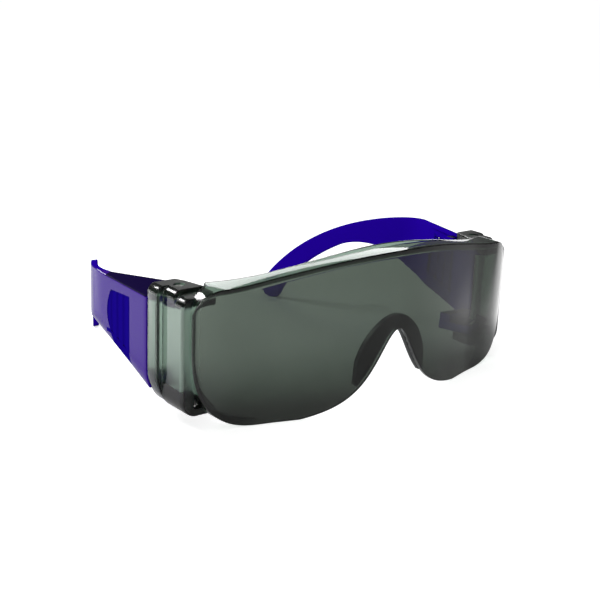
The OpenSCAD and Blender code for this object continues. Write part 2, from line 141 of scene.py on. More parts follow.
class Bench:
    """Modelling steps that every sub-assembly shares."""

    @staticmethod
    def clear() -> None:
        """Leaves edit mode and deselects everything."""
        if bpy.context.object and bpy.context.object.mode != "OBJECT":
            bpy.ops.object.mode_set(mode="OBJECT")
        bpy.ops.object.select_all(action="DESELECT")

    @staticmethod
    def pick(piece: bpy.types.Object) -> None:
        """Makes one object the only selected and active one.

        Args:
            piece: The object to select.
        """
        Bench.clear()
        piece.select_set(True)
        bpy.context.view_layer.objects.active = piece

    @staticmethod
    def loft(name: str, rows: Sequence[Sequence[Point]]) -> bpy.types.Object:
        """Rolls a grid shut round rows of points, and closes its two ends.

        Args:
            name: Name of the new object.
            rows: Equal rings of points in mm, which don't repeat their first point.

        Returns:
            The solid, in the row frame.
        """
        laid = [[*row, row[0]] for row in rows]
        Bench.clear()
        bpy.ops.mesh.primitive_grid_add(
            x_subdivisions=len(laid[0]) - 1, y_subdivisions=len(laid) - 1, size=1)
        piece = Bench.named(bpy.context.object, name)
        piece.data.vertices.foreach_set("co", [c for row in laid for p in row for c in world(p)])
        bpy.ops.object.mode_set(mode="EDIT")
        bpy.ops.mesh.select_all(action="SELECT")
        bpy.ops.mesh.remove_doubles(threshold=2e-7)
        bpy.ops.object.mode_set(mode="OBJECT")
        Bench.close_ends(piece)
        return piece

    @staticmethod
    def named(piece: bpy.types.Object, name: str) -> bpy.types.Object:
        """Gives an object and its mesh one name."""
        piece.name = piece.data.name = name
        return piece

    @staticmethod
    def close_ends(piece: bpy.types.Object) -> None:
        """Fills each open rim of a rolled sheet with one face and turns all faces out.

        Args:
            piece: The rolled sheet.
        """
        Bench.pick(piece)
        bpy.ops.object.mode_set(mode="EDIT")
        bpy.ops.mesh.select_mode(type="EDGE")
        bpy.ops.mesh.select_all(action="DESELECT")
        mesh = bmesh.from_edit_mesh(piece.data)
        for edge in mesh.edges:
            if edge.is_boundary:
                edge.select = True
        mesh.select_flush(True)
        bmesh.update_edit_mesh(piece.data)
        bpy.ops.mesh.fill_holes(sides=0)
        bpy.ops.mesh.select_all(action="SELECT")
        bpy.ops.mesh.normals_make_consistent(inside=False)
        bpy.ops.object.mode_set(mode="OBJECT")

    @staticmethod
    def columns(piece: bpy.types.Object, stops: Sequence[float],
                chosen: Callable[[bmesh.types.BMFace], bool]) -> None:
        """Cuts the chosen faces into columns by planes across X.

        Args:
            piece: The object to cut.
            stops: Places of the planes in metres.
            chosen: Says which faces are cut.
        """
        Bench.pick(piece)
        bpy.ops.object.mode_set(mode="EDIT")
        bpy.ops.mesh.select_mode(type="FACE")
        for stop in stops:
            Bench.select_faces(piece, chosen)
            bpy.ops.mesh.bisect(plane_co=(stop, 0, 0), plane_no=(1, 0, 0))
        bpy.ops.object.mode_set(mode="OBJECT")

    @staticmethod
    def select_faces(piece: bpy.types.Object, chosen: Callable[[bmesh.types.BMFace], bool]) -> None:
        """Selects only the chosen faces of a piece that is in edit mode.

        Args:
            piece: The piece whose faces are selected.
            chosen: Says which faces are selected.
        """
        bpy.ops.mesh.select_all(action="DESELECT")
        mesh = bmesh.from_edit_mesh(piece.data)
        for face in mesh.faces:
            if chosen(face):
                face.select = True
        bmesh.update_edit_mesh(piece.data)

    @staticmethod
    def prism(name: str, outline: Sequence[Point], run: Point, rim: float = 0.0) -> bpy.types.Object:
        """Fills an outline, extrudes it and rounds its edges.

        Args:
            name: Name of the new object.
            outline: Corner points in mm, in order.
            run: Direction and length of the extrusion in mm.
            rim: Radius of the rounded edges in mm.

        Returns:
            The solid, in the row frame.
        """
        Bench.clear()
        bpy.ops.mesh.primitive_circle_add(vertices=len(outline), fill_type="NGON")
        piece = Bench.named(bpy.context.object, name)
        piece.data.vertices.foreach_set("co", [c for p in outline for c in world(p)])
        bpy.ops.object.mode_set(mode="EDIT")
        bpy.ops.mesh.select_all(action="SELECT")
        bpy.ops.mesh.extrude_region_move(TRANSFORM_OT_translate={"value": Vector(run) * MM})
        bpy.ops.mesh.select_all(action="SELECT")
        bpy.ops.mesh.normals_make_consistent(inside=False)
        bpy.ops.object.mode_set(mode="OBJECT")
        if rim:
            Bench.round_edges(piece, rim)
        return piece

    @staticmethod
    def round_edges(piece: bpy.types.Object, radius: float, segments: int = 3) -> None:
        """Rounds every edge that turns by more than 50 degrees.

        Args:
            piece: The object to round.
            radius: Radius of the rounding in mm.
            segments: How many faces the rounding is wide.
        """
        Bench.pick(piece)
        bevel = piece.modifiers.new("rounding", "BEVEL")
        bevel.width = radius * MM
        bevel.segments = segments
        bevel.limit_method = "ANGLE"
        bevel.angle_limit = math.radians(50)
        bevel.use_clamp_overlap = True
        bpy.ops.object.modifier_apply(modifier=bevel.name)

    @staticmethod
    def combine(piece: bpy.types.Object, tool: bpy.types.Object, operation: str) -> None:
        """Joins another solid to a piece, or cuts it out, and removes the other.

        Args:
            piece: The object that stays.
            tool: The solid that is used up.
            operation: UNION or DIFFERENCE.
        """
        Bench.pick(piece)
        cut = piece.modifiers.new("combine", "BOOLEAN")
        cut.operation = operation
        cut.solver = "EXACT"
        cut.object = tool
        bpy.ops.object.modifier_apply(modifier=cut.name)
        bpy.data.objects.remove(tool)

    @staticmethod
    def drill(piece: bpy.types.Object, radius: float) -> None:
        """Bores the upright hinge hole through a piece.

        Args:
            piece: The piece to drill.
            radius: Radius of the hole in mm.
        """
        Bench.clear()
        bpy.ops.mesh.primitive_cylinder_add(
            vertices=48, radius=radius * MM, depth=0.06, location=world((HINGE_X, HINGE_Y, 25)))
        Bench.combine(piece, bpy.context.object, "DIFFERENCE")

    @staticmethod
    def dress(piece: bpy.types.Object, finishes: Sequence[bpy.types.Material], angle: float) -> None:
        """Gives a piece its finishes, and shades it smoothly except over sharper edges.

        Args:
            piece: The object to dress.
            finishes: Its materials, in the order of its slots.
            angle: Turn in degrees above which an edge stays sharp.
        """
        piece.data.materials.clear()
        for finish in finishes:
            piece.data.materials.append(finish)
        Bench.pick(piece)
        bpy.ops.object.shade_smooth_by_angle(angle=math.radians(angle))

    @staticmethod
    def mirrored(piece: bpy.types.Object, name: str) -> bpy.types.Object:
        """Makes the mirror image of a piece across X = 0, with its own mesh.

        Args:
            piece: The piece to copy.
            name: Name of the copy.

        Returns:
            The mirrored copy.
        """
        twin = piece.copy()
        twin.data = piece.data.copy()
        Bench.named(twin, name)
        bpy.context.scene.collection.objects.link(twin)
        Bench.pick(twin)
        bpy.ops.object.mode_set(mode="EDIT")
        bpy.ops.mesh.select_all(action="SELECT")
        bpy.ops.transform.mirror(constraint_axis=(True, False, False), orient_type="GLOBAL",
                                 center_override=(0, 0, 0))
        bpy.ops.mesh.normals_make_consistent(inside=False)
        bpy.ops.object.mode_set(mode="OBJECT")
        return twin


class Wiring:
    """The nodes of one material or world, and the links between them."""

    def __init__(self, owner: bpy.types.Material | bpy.types.World, bare: bool = False) -> None:
        """Turns the nodes on.

        Args:
            owner: The material or world.
            bare: Whether the nodes that it starts with are removed.
        """
        owner.use_nodes = True
        self.nodes, self.links = owner.node_tree.nodes, owner.node_tree.links
        if bare:
            self.nodes.clear()

    def feed(self, node: bpy.types.Node, inputs: Inputs) -> bpy.types.Node:
        """Sets inputs of a node to values, or joins them to outputs of other nodes.

        Args:
            node: The node.
            inputs: Values and outputs, each under its input's name or number.

        Returns:
            The same node.
        """
        for key, value in inputs.items():
            if isinstance(value, bpy.types.NodeSocket):
                self.links.new(value, node.inputs[key])
            else:
                node.inputs[key].default_value = value
        return node

    def add(self, kind: str, inputs: Inputs | None = None) -> bpy.types.Node:
        """Adds a node of a kind and feeds it."""
        return self.feed(self.nodes.new(f"ShaderNode{kind}"), inputs or {})

    def math(self, operation: str, *values: bpy.types.NodeSocket | float,
             clamped: bool = False) -> bpy.types.NodeSocket:
        """Works out one sum.

        Args:
            operation: Name of the sum.
            values: What it is made of.
            clamped: Whether the result stays between 0 and 1.

        Returns:
            The result.
        """
        node = self.add("Math")
        node.operation, node.use_clamp = operation, clamped
        return self.feed(node, dict(enumerate(values))).outputs[0]

    def span(self, value: bpy.types.NodeSocket, source: Flat = (0.0, 1.0),
             target: Sequence[bpy.types.NodeSocket | float] = (0.0, 1.0),
             smooth: bool = False) -> bpy.types.NodeSocket:
        """Maps a value from one range to another.

        Args:
            value: The value to map.
            source: Ends of the range that it comes from.
            target: Ends of the range that it goes to.
            smooth: Whether it eases in and out.

        Returns:
            The mapped value.
        """
        node = self.add("MapRange", {"Value": value, "From Min": source[0], "From Max": source[1],
                                     "To Min": target[0], "To Max": target[1]})
        node.interpolation_type = "SMOOTHSTEP" if smooth else "LINEAR"
        return node.outputs["Result"]

    def blend(self, share: bpy.types.NodeSocket, first: Colour | bpy.types.NodeSocket,
              second: Colour | bpy.types.NodeSocket) -> bpy.types.NodeSocket:
        """Mixes two colours.

        Args:
            share: Share of the second colour.
            first: The colour where the share is 0.
            second: The colour where the share is 1.

        Returns:
            The mixed colour.
        """
        node = self.add("Mix")
        node.data_type = "RGBA"
        return self.feed(node, {"Factor": share, "A": first, "B": second}).outputs["Result"]

    def zone(self, zone: Zone) -> bpy.types.NodeSocket:
        """Reads one of the shield's face attributes.

        Args:
            zone: The attribute.

        Returns:
            Its value at the point.
        """
        node = self.add("Attribute")
        node.attribute_name = zone.value
        return node.outputs["Fac"]

    def noise(self, where: bpy.types.NodeSocket, scale: float, detail: float) -> bpy.types.NodeSocket:
        """Lays a noise pattern over a piece, and gives its value."""
        return self.add("TexNoise", {"Vector": where, "Scale": scale, "Detail": detail}).outputs["Fac"]

    def bump(self, height: bpy.types.NodeSocket, relief: Flat) -> bpy.types.NodeSocket:
        """Raises a pattern by a strength and a distance in metres, and gives the normal."""
        return self.add("Bump", {"Height": height, "Strength": relief[0],
                                 "Distance": relief[1]}).outputs["Normal"]

    def ray(self) -> bpy.types.NodeOutputs:
        """Kinds of ray that meet the surface."""
        return self.add("LightPath").outputs

    def here(self) -> bpy.types.NodeSocket:
        """Place of a point on the piece, in metres."""
        return self.add("TexCoord").outputs["Object"]


@dataclass(frozen=True)
class SmokedPlastic:
    """See-through plastic that darkens with its thickness, with a darker film on the lens that painted
    shade darkens towards the bottom.

    Absorption acts on the whole moulding; the film and the satin act where Zone's face
    attributes say so, because a solid with absorption can only have one material. The film
    also paints shade on the side boxes' feet and lug tops.
    """

    name: str = "smoked_plastic"
    passed: Colour = (0.50, 0.55, 0.52)
    density: float = 1000.0
    pane: Colour = (0.73, 0.93, 0.79)
    film: Colour = (0.155, 0.166, 0.140)
    # painted shade: the near black that the film fades to at the bottom
    film_foot: Colour = (0.0098, 0.0084, 0.0076)
    film_span: Flat = (0.004, 0.030)
    roughness: float = 0.008
    smeared: float = 0.02
    smear_scale: float = 260.0
    smear_span: Flat = (0.45, 0.75)
    satin: float = 0.32
    flow_scale: float = 45.0
    ripple: Flat = (0.0015, 0.001)
    ior: float = 1.48

    def tint(self, wiring: Wiring, where: bpy.types.NodeSocket) -> bpy.types.NodeSocket:
        """Picks the clear pane, or the film, with painted shade that darkens it towards the bottom.

        Args:
            wiring: The material's nodes.
            where: Place on the piece.

        Returns:
            The colour.
        """
        height = wiring.add("SeparateXYZ", {0: where}).outputs["Z"]
        # Painted shade: the film fades to near black towards the bottom
        fade = wiring.span(height, self.film_span, smooth=True)
        film = wiring.blend(fade, (*self.film_foot, 1), (*self.film, 1))
        return wiring.blend(wiring.zone(Zone.FILM), (*self.pane, 1), film)

    def polish(self, wiring: Wiring, where: bpy.types.NodeSocket) -> bpy.types.NodeSocket:
        """Polishes the surface, with faint smears, and leaves the boxes' inside satin.

        Args:
            wiring: The material's nodes.
            where: Place on the piece.

        Returns:
            The roughness.
        """
        smear = wiring.noise(where, self.smear_scale, 3)
        polished = wiring.span(smear, self.smear_span, (self.roughness, self.smeared))
        return wiring.math("MULTIPLY_ADD", wiring.zone(Zone.SATIN), self.satin, polished)

    def material(self) -> bpy.types.Material:
        """Builds the node material.

        Returns:
            The new material.
        """
        made = bpy.data.materials.new(self.name)
        wiring = Wiring(made, bare=True)
        where = wiring.here()
        flow = wiring.noise(where, self.flow_scale, 1)
        body = wiring.add("BsdfPrincipled", {
            "Base Color": self.tint(wiring, where), "Roughness": self.polish(wiring, where),
            "Normal": wiring.bump(flow, self.ripple), "IOR": self.ior, "Transmission Weight": 1.0})
        # Lamps shine through the surface, and the depth of plastic tints their light
        veil = wiring.add("BsdfTransparent")
        surface = wiring.add("MixShader", {0: wiring.ray()["Is Shadow Ray"], 1: body.outputs[0],
                                           2: veil.outputs[0]})
        depth = wiring.add("VolumeAbsorption", {"Color": (*self.passed, 1), "Density": self.density})
        wiring.add("OutputMaterial", {"Surface": surface.outputs[0], "Volume": depth.outputs[0]})
        return made


@dataclass(frozen=True)
class GrainedFinish:
    """A solid finish with a fine grain in its gloss and, where it has relief, in its surface."""

    name: str
    colour: Colour
    rough: Flat
    grain_scale: float
    grain_detail: float = 2.0
    relief: Flat | None = None
    specular: float = 0.5
    metallic: float = 0.0

    def material(self) -> bpy.types.Material:
        """Builds the node material.

        Returns:
            The new material.
        """
        made = bpy.data.materials.new(self.name)
        wiring = Wiring(made)
        body = wiring.nodes["Principled BSDF"]
        grain = wiring.noise(wiring.here(), self.grain_scale, self.grain_detail)
        wiring.feed(body, {
            "Base Color": (*self.colour, 1), "Specular IOR Level": self.specular,
            "Metallic": self.metallic, "Roughness": wiring.span(grain, target=self.rough)})
        if self.relief:
            wiring.feed(body, {"Normal": wiring.bump(grain, self.relief)})
        return made


class VioletPlastic(Enum):
    """Blue-violet plastic in lit and shaded copies, one for each kind of face: name, colour, gloss and
    specular.
    """

    # outward faces: glossy, with a painted violet sheen in their redder colour
    POLISHED = ("polished_violet", (0.034, 0.003, 0.22), 0.14, 0.2)
    SATIN = ("satin_violet", (0.0145, 0.0008, 0.29), 0.35, 0.0)
    # painted shade on the faces of the shoulder that look up
    THICK = ("thick_violet", (0.005, 0.0012, 0.035), 0.3, 0.02)
    # painted shade in the vent's recess
    LOUVRE = ("louvre_violet", (0.008, 0.002, 0.2), 0.5, 0.0)

    @property
    def number(self) -> int:
        """Place of the finish among a temple's material slots."""
        return list(VioletPlastic).index(self)

    def material(self) -> bpy.types.Material:
        """Builds the node material, with a grain that varies its gloss by a quarter.

        Returns:
            The new material.
        """
        name, colour, gloss, specular = self.value
        return GrainedFinish(name, colour, (gloss * 0.8, gloss * 1.25), 900.0,
                             relief=(0.03, 0.0002), specular=specular).material()


SOFT_RUBBER = GrainedFinish("soft_rubber", (0.012, 0.012, 0.013), (0.36, 0.5), 1400.0, 3.0,
                            relief=(0.12, 0.0001))
TURNED_STEEL = GrainedFinish("turned_steel", (0.55, 0.54, 0.52), (0.2, 0.38), 2500.0, metallic=1.0)


@dataclass
class Lens:
    """Sizes and curves of the tinted lens, in mm."""

    half_w: float = 72.0
    height: float = 56.0
    wall: float = 2.2
    sweep: float = 0.347
    crown: float = 19.0
    bulge: float = 1.5
    bulge_from: float = 44.0
    corner_r: float = 10.0
    fall: float = 8.5
    extra_fall: float = 9.9
    land_in: float = 36.0
    land_out: float = 46.0
    arch_h: float = 28.1
    arch_half_w: float = 11.9
    side_power: float = 3.0
    side_share: float = 0.546

    @property
    def side_z(self) -> float:
        """Height where the side edge turns into the lobe."""
        return self.side_share * self.height

    @property
    def corner_x(self) -> float:
        """Distance of the upper corner's centre from the middle."""
        return self.half_w - self.corner_r

    def face(self, x: float) -> float:
        """Setback of the lens front at x, a little fuller towards its rolled ends."""
        t = clamp((abs(x) - self.bulge_from) / (self.half_w - self.bulge_from), 0, 1)
        peak = 27 / 4  # scales t ** 2 * (1 - t), which is 4 / 27 at most
        return (self.sweep * (math.hypot(x, self.crown) - self.crown)
                - self.bulge * peak * t ** 2 * (1 - t))

    def brow(self, x: float) -> float:
        """Height of the brow line at x."""
        t = x / self.half_w
        return self.height - (self.fall + self.extra_fall) * t ** 2 + self.extra_fall * t ** 4

    def arch(self, x: float) -> float:
        """Follows the nose arch.

        Args:
            x: Distance from the middle plane.

        Returns:
            Its height.
        """
        def bell(v: float) -> float:
            """Height of a bell curve at v, where its top is 1."""
            return 1 / (1 + (v / self.arch_half_w) ** 2)
        rim = bell(self.land_in)
        return self.arch_h * max(bell(x) - rim, 0) / (1 - rim)

    def half_outline(self) -> list[Flat]:
        """Traces the right half of the lens.

        Returns:
            Dense points, from the arch's top round to the brow's middle.
        """
        dense = 300
        points = [(self.land_in * i / dense, self.arch(self.land_in * i / dense))
                  for i in range(dense)]
        points += [(self.land_in, 0.0), (self.land_out, 0.0)]
        a, b, power = self.half_w - self.land_out, self.side_z, 2 / self.side_power
        points += [(self.land_out + a * sine ** power, b - b * cosine ** power)
                   for sine, cosine in arc(dense)[1:]]
        r, x0 = self.corner_r, self.corner_x
        z0 = self.brow(x0) - r
        points += [(x0 + r * cosine, z0 + r * sine) for sine, cosine in arc(100)]
        points += [(x0 * (1 - i / dense), self.brow(x0 * (1 - i / dense)))
                   for i in range(1, dense + 1)]
        return points


@dataclass
class Visor:
    """The shield's moulding: lens, brow shelf, step walls and the two side boxes."""

    lens: Lens = field(default_factory=Lens)
    shelf_depth: float = 11.5
    shelf_sweep: float = 14.0
    shelf_power: float = 2.6
    shelf_t: float = 2.0
    ledge_drop: float = 1.0
    ledge_half_l: float = 36.0
    ledge_w: float = 3.6
    ledge_lip: float = 1.1
    window_x: float = 74.2
    window_t: float = 1.4
    rim_x: float = 76.4
    rim_t: float = 1.8
    rim_front: float = 33.6
    rim_rear: float = 39.6
    lug_top: float = 46.0
    lug_bottom: float = 4.0
    lug_t: float = 3.2
    top_r: float = 3.0
    low_r: float = 5.5
    rim_low_w: float = 8.5
    rim_low_h: float = 13.0
    step_drop: float = 1.6
    step_end: float = 26.8
    hinge_x: float = HINGE_X
    hinge_y: float = HINGE_Y
    bore_r: float = 2.0
    spacing: float = 0.9
    column: float = 1.5
    front_r: float = 0.35
    rear_r: float = 0.55
    inner_r: float = 0.9
    least_ledge: float = 0.35
    lug_edge: Flat = (0.4, 0.12)  # size of the rounded edge, and how far its middle is in
    groove_r: float = 0.8
    lug_in: float = 4.6
    lug_flare: Flat = (25.5, 9.0)  # where the lugs' inner ends start to slant, and over what run
    film_depth: float = 0.42
    box_front: float = 2.6
    # Painted shade: heights of the darkened foot of the window and of the rim
    foot_h: Flat = (8.0, 5.0)  # height of the darker foot of the window and of the rim
    satin_top: float = 1.8
    satin_roll: float = 0.5

    @property
    def web_y(self) -> float:
        """Setback of the side box's front wall."""
        return self.lens.face(self.lens.half_w) + 3

    def shelf_rear(self, x: float) -> float:
        """Setback of the shelf's rear edge at x."""
        return self.shelf_depth + self.shelf_sweep * (abs(x) / self.lens.corner_x) ** self.shelf_power

    def skirt(self, x: float, z: float) -> float:
        """Ends the wall that runs back from the lens outline.

        Args:
            x: Distance from the middle plane.
            z: Height.

        Returns:
            Setback of the wall's rear end.
        """
        x = abs(x)
        lens = self.lens
        free = lens.face(x) + lens.wall
        if z > lens.side_z:
            past = smooth_step(lens.corner_x + 0.5, lens.corner_x + 4, x)
            return self.shelf_rear(min(x, lens.corner_x + 2)) * (1 - past) + (self.web_y + 1) * past
        root = lens.land_out + 4
        if x <= root:
            return free
        end = lens.corner_x + 2
        t = min((x - root) / (end - root), 1)
        start = lens.face(root) + lens.wall
        return max(free, start + t * (self.web_y + 1 - start))

    def outline(self) -> tuple[list[Flat], list[Flat]]:
        """Traces the whole lens.

        Returns:
            Its evenly spaced points, and its outward normals.
        """
        half = resample(self.lens.half_outline(), self.spacing)
        points = half + [(-x, z) for x, z in half[-2:0:-1]]
        normals = []
        for i in range(len(points)):
            a, b = points[i - 1], points[(i + 1) % len(points)]
            dx, dz = b[0] - a[0], b[1] - a[1]
            size = math.hypot(dx, dz)
            normals.append((dz / size, -dx / size))
        return points, normals

    def ledge(self, x: float, z: float) -> Flat:
        """Sizes the ledge along the shelf's rear edge.

        Args:
            x: Distance from the middle plane.
            z: Height.

        Returns:
            Its width and its drop.
        """
        inside = z > self.lens.side_z and abs(x) < self.ledge_half_l
        wide = self.ledge_w * (1 - (x / self.ledge_half_l) ** 2) if inside else 0
        return max(wide, self.least_ledge), self.ledge_drop * smooth_step(0.1, 1.0, wide)

    def shell(self) -> bpy.types.Object:
        """Makes lens, brow shelf and step walls as one rolled wall, closed by the two lens faces.

        Returns:
            The solid, without the side boxes.
        """
        face, glass, wall = self.lens.face, self.lens.wall, self.shelf_t
        outline, normals = self.outline()
        depth = [self.skirt(x, z) for x, z in outline]
        ledges = [self.ledge(x, z) for x, z in outline]
        rows: list[list[Point]] = []

        def row(inset: Callable[[int], float], back: Callable[[int, float], float]) -> None:
            """Adds a ring of points.

            Args:
                inset: How far each point of the outline is drawn in.
                back: Setback of each point, by its number and its X.
            """
            made = []
            for i, ((x, z), (nx, nz)) in enumerate(zip(outline, normals)):
                drawn = inset(i)
                px = x - nx * drawn
                made.append((px, back(i, px), z - nz * drawn))
            rows.append(made)

        def inner(inset: float, behind: Callable[[int, float], float]) -> None:
            """Adds a ring inside the wall, between the lens's back and the wall's end.

            Args:
                inset: How far the outline is drawn in.
                behind: Setback of each point, by its number and its X.
            """
            row(lambda i: inset, lambda i, x: clamp(
                behind(i, x), face(x) + glass, max(depth[i], face(x) + glass)))

        for sine, cosine in arc(4):
            row(lambda i: self.front_r * (1 - sine), lambda i, x: face(x) + self.front_r * (1 - cosine))
        # The ledge: how far it has dropped, whether it lies ahead by its width, and a small shift
        for sunk, ahead, shift in ((0, 1, 0.0), (0.94, 1, 0.05), (1, 1, 0.14),
                                   (1, 0, -0.12), (0.5, 0, -0.05), (0, 0, 0.0)):
            row(lambda i: ledges[i][1] * sunk,
                lambda i, x: depth[i] - self.ledge_lip - ledges[i][0] * ahead + shift)
        for sine, cosine in arc(3):
            row(lambda i: self.rear_r * (1 - cosine), lambda i, x: depth[i] - self.rear_r * (1 - sine))
        for sine, cosine in arc(3):
            inner(wall - self.rear_r * (1 - sine), lambda i, x: depth[i] - self.rear_r * (1 - cosine))
        for sine, cosine in arc(4):
            inner(wall + self.inner_r * (1 - cosine),
                  lambda i, x: face(x) + glass + self.inner_r * (1 - sine))
        shell = Bench.loft("visor_moulding", rows)
        stops = [self.column * MM * i for i in range(-47, 48)]
        Bench.columns(shell, stops, lambda face: len(face.verts) > 4 and face.calc_area() > 2e-6)
        return shell

    def box_inner(self, y: float) -> float:
        """Ends the hinge lugs on their inner side.

        Args:
            y: Setback.

        Returns:
            X of their inner end.
        """
        start, lug_x = self.lens.corner_x, self.hinge_x - self.lug_in
        flare_y, flare_run = self.lug_flare
        if y <= flare_y:
            return start
        if y <= self.hinge_y + 2:
            return start + (lug_x - start) * (y - flare_y) / flare_run
        side = math.sqrt(max((self.rim_rear - self.hinge_y) ** 2 - (y - self.hinge_y) ** 2, 0))
        return max(lug_x, self.hinge_x - side)

    def rim_hollow(self, z: float) -> float:
        """Hollows the rear rim.

        Args:
            z: Height.

        Returns:
            X of the wall's inside.
        """
        edge = self.window_x - self.window_t
        w, h = self.rim_low_w - self.rim_t, self.rim_low_h - self.lug_t
        below = (self.lug_bottom + self.rim_low_h - z) / h
        if below <= 0:
            return self.rim_x - self.rim_t
        if below > 0.7071:
            return edge
        return max(edge, self.rim_x - self.rim_low_w + w * math.sqrt(1 - below ** 2))

    def box_ring(self, y: float, x: float, top: float, inside: float, shrink: float) -> list[Point]:
        """One C-shaped section of the side box.

        Args:
            y: Setback of the section.
            x: Outside of its side wall.
            top: Height of its top.
            inside: Inside of its side wall; past the window's, the rim's hollow is meant.
            shrink: How far the section's outline is drawn in on all sides.

        Returns:
            The section's points, in order.
        """
        s, low, high = shrink, self.lug_bottom, top - self.top_r
        x_in = self.box_inner(y) + s
        edge, bevel = self.lug_edge

        def roof_edge(z: float) -> list[Flat]:
            """Rounds the inner end of an upper face, from its end outwards."""
            return [(x_in, z - edge - s), (x_in + bevel, z - bevel - s), (x_in + edge, z - s)]

        def floor_edge(z: float) -> list[Flat]:
            """Rounds the inner end of a lower face, inwards to its end."""
            return [(x_in + edge, z + s), (x_in + bevel, z + s + bevel), (x_in, z + s + edge)]

        part = clamp((x - self.window_x) / (self.rim_x - self.window_x), 0, 1)
        low_w = self.low_r + (self.rim_low_w - self.low_r) * part
        low_h = self.low_r + (self.rim_low_h - self.low_r) * part
        points = roof_edge(top)
        points += [(x_in + edge + (x - self.top_r - x_in - edge) * (j + 1) / 5, top - s)
                   for j in range(4)]
        r = self.top_r - s
        points += [(x - self.top_r + r * sine, high + r * cosine) for sine, cosine in arc(8)]
        points += [(x - s, high + (low + low_h - high) * (j + 1) / 9) for j in range(8)]
        points += [(x - low_w + (low_w - s) * cosine, low + low_h - (low_h - s) * sine)
                   for sine, cosine in arc(14)]
        points += floor_edge(low)
        z0, z1, q = low + self.lug_t, top - self.lug_t, self.groove_r
        points += roof_edge(z0)
        hollow = inside > self.window_x
        foot_x = self.window_x - self.window_t if hollow else inside
        points += [(foot_x - q + (q + s) * sine, z0 + q - (q + s) * cosine) for sine, cosine in arc(4)]
        for j in range(13):
            z = z0 + q + (z1 - z0 - 2 * q) * (j + 1) / 14
            points.append((self.rim_hollow(z) if hollow else inside, z))
        points += [(inside - q + (q + s) * cosine, z1 - q + (q + s) * sine) for sine, cosine in arc(4)]
        points += floor_edge(z1)
        return [(px, y, pz) for px, pz in points]

    def side_box(self) -> bpy.types.Object:
        """Lofts side window, rear rim and hinge lugs of the right side, front to back.

        Returns:
            The box, with its hinge hole.
        """
        side, rim, top = self.window_x, self.rim_x, self.lug_top
        low_top = top - self.step_drop
        flange = self.lens.half_w - self.lens.wall
        window_in, rim_in = side - self.window_t, rim - self.rim_t
        web, start = self.web_y, self.web_y - self.window_t
        step, front, rear = self.step_end, self.rim_front, self.rim_rear
        stations = [
            (start, side, low_top, flange, 0.5),
            (start + 0.12, side, low_top, flange, 0.18),
            (start + 0.45, side, low_top, flange, 0),
            (web + 0.9, side, low_top, flange, 0),
            (web + 1.3, side, low_top, window_in - 0.6, 0),
            (web + 1.7, side, low_top, window_in, 0),
            (step - 0.35, side, low_top, window_in, 0),
            (step - 0.08, side, low_top + 0.12, window_in, 0),
            (step + 0.1, side, top - 0.3, window_in, 0),
            (step + 0.4, side, top, window_in, 0),
            (front - 2, side, top, window_in, 0),
            (front - 0.35, side, top, window_in, 0),
            (front - 0.06, side + 0.16, top, window_in, 0),
            (front + 0.02, rim - 0.7, top, window_in, 0),
            (front + 0.2, rim - 0.2, top, window_in, 0),
            (front + 0.7, rim, top, window_in, 0),
            (front + 1.35, rim, top, window_in, 0),
            (front + 1.5, rim, top, rim_in, 0),
            (rear - 0.6, rim, top, rim_in, 0),
            (rear - 0.18, rim, top, rim_in, 0.15),
            (rear, rim, top, rim_in, 0.6),
        ]
        box = Bench.loft("side_box", [self.box_ring(*station) for station in stations])
        Bench.drill(box, self.bore_r)
        return box

    def marks(self, face: bpy.types.MeshPolygon) -> Flat:
        """Weighs a face: the lens carries film, the boxes' feet and lug tops carry it as painted shade,
        and the boxes' inside is satin.

        Args:
            face: A face of the shield.

        Returns:
            The shares of film and of satin.
        """
        x, z = face.center.x / MM, face.center.z / MM
        setback = face.center.y / MM + HALF_DEPTH
        on_lens = (setback < self.lens.face(x) + self.film_depth
                   and abs(x) < self.lens.half_w + 0.1)
        in_box = abs(x) > self.lens.corner_x + 2 and setback > self.web_y - self.box_front
        level = abs(face.normal.z) > 0.5
        # Painted shade: the film darkens the boxes' feet and the level faces of the lug tops
        foot = in_box and z < self.lug_bottom + self.foot_h[setback >= self.rim_front]
        head = in_box and z > self.lug_top - self.lug_t
        film = float(on_lens or foot or (head and level))
        faces_in = face.normal.x * math.copysign(1, x) < -0.3
        stepped = abs(face.normal.y) > 0.6 and not on_lens
        underside = level and z < self.lug_top - 2.5 and not foot
        if head and face.normal.z >= 0.97:
            return film, self.satin_top
        if in_box and (faces_in or stepped or underside):
            return film, 1.0
        return film, self.satin_roll * (head and 0.1 < face.normal.z < 0.97)

    def mark_zones(self, shell: bpy.types.Object) -> None:
        """Writes the film, with its painted shade on the boxes, and the satin of each face for the
        shield's plastic.

        Args:
            shell: The shield's moulding.
        """
        film, satin = zip(*(self.marks(face) for face in shell.data.polygons))
        for zone, values in ((Zone.FILM, film), (Zone.SATIN, satin)):
            layer = shell.data.attributes.new(zone.value, "FLOAT", "FACE")
            layer.data.foreach_set("value", values)

    def build(self, smoked: bpy.types.Material) -> bpy.types.Object:
        """Joins shell and boxes, dresses them and replaces the visor.

        Args:
            smoked: The shield's plastic.

        Returns:
            The dressed moulding.
        """
        shell = self.shell()
        right = self.side_box()
        left = Bench.mirrored(right, "left_box")
        Bench.combine(shell, right, "UNION")
        Bench.combine(shell, left, "UNION")
        self.mark_zones(shell)
        Bench.dress(shell, [smoked], 32)
        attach(shell, Body.SHIELD.value)
        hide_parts("visor")
        return shell


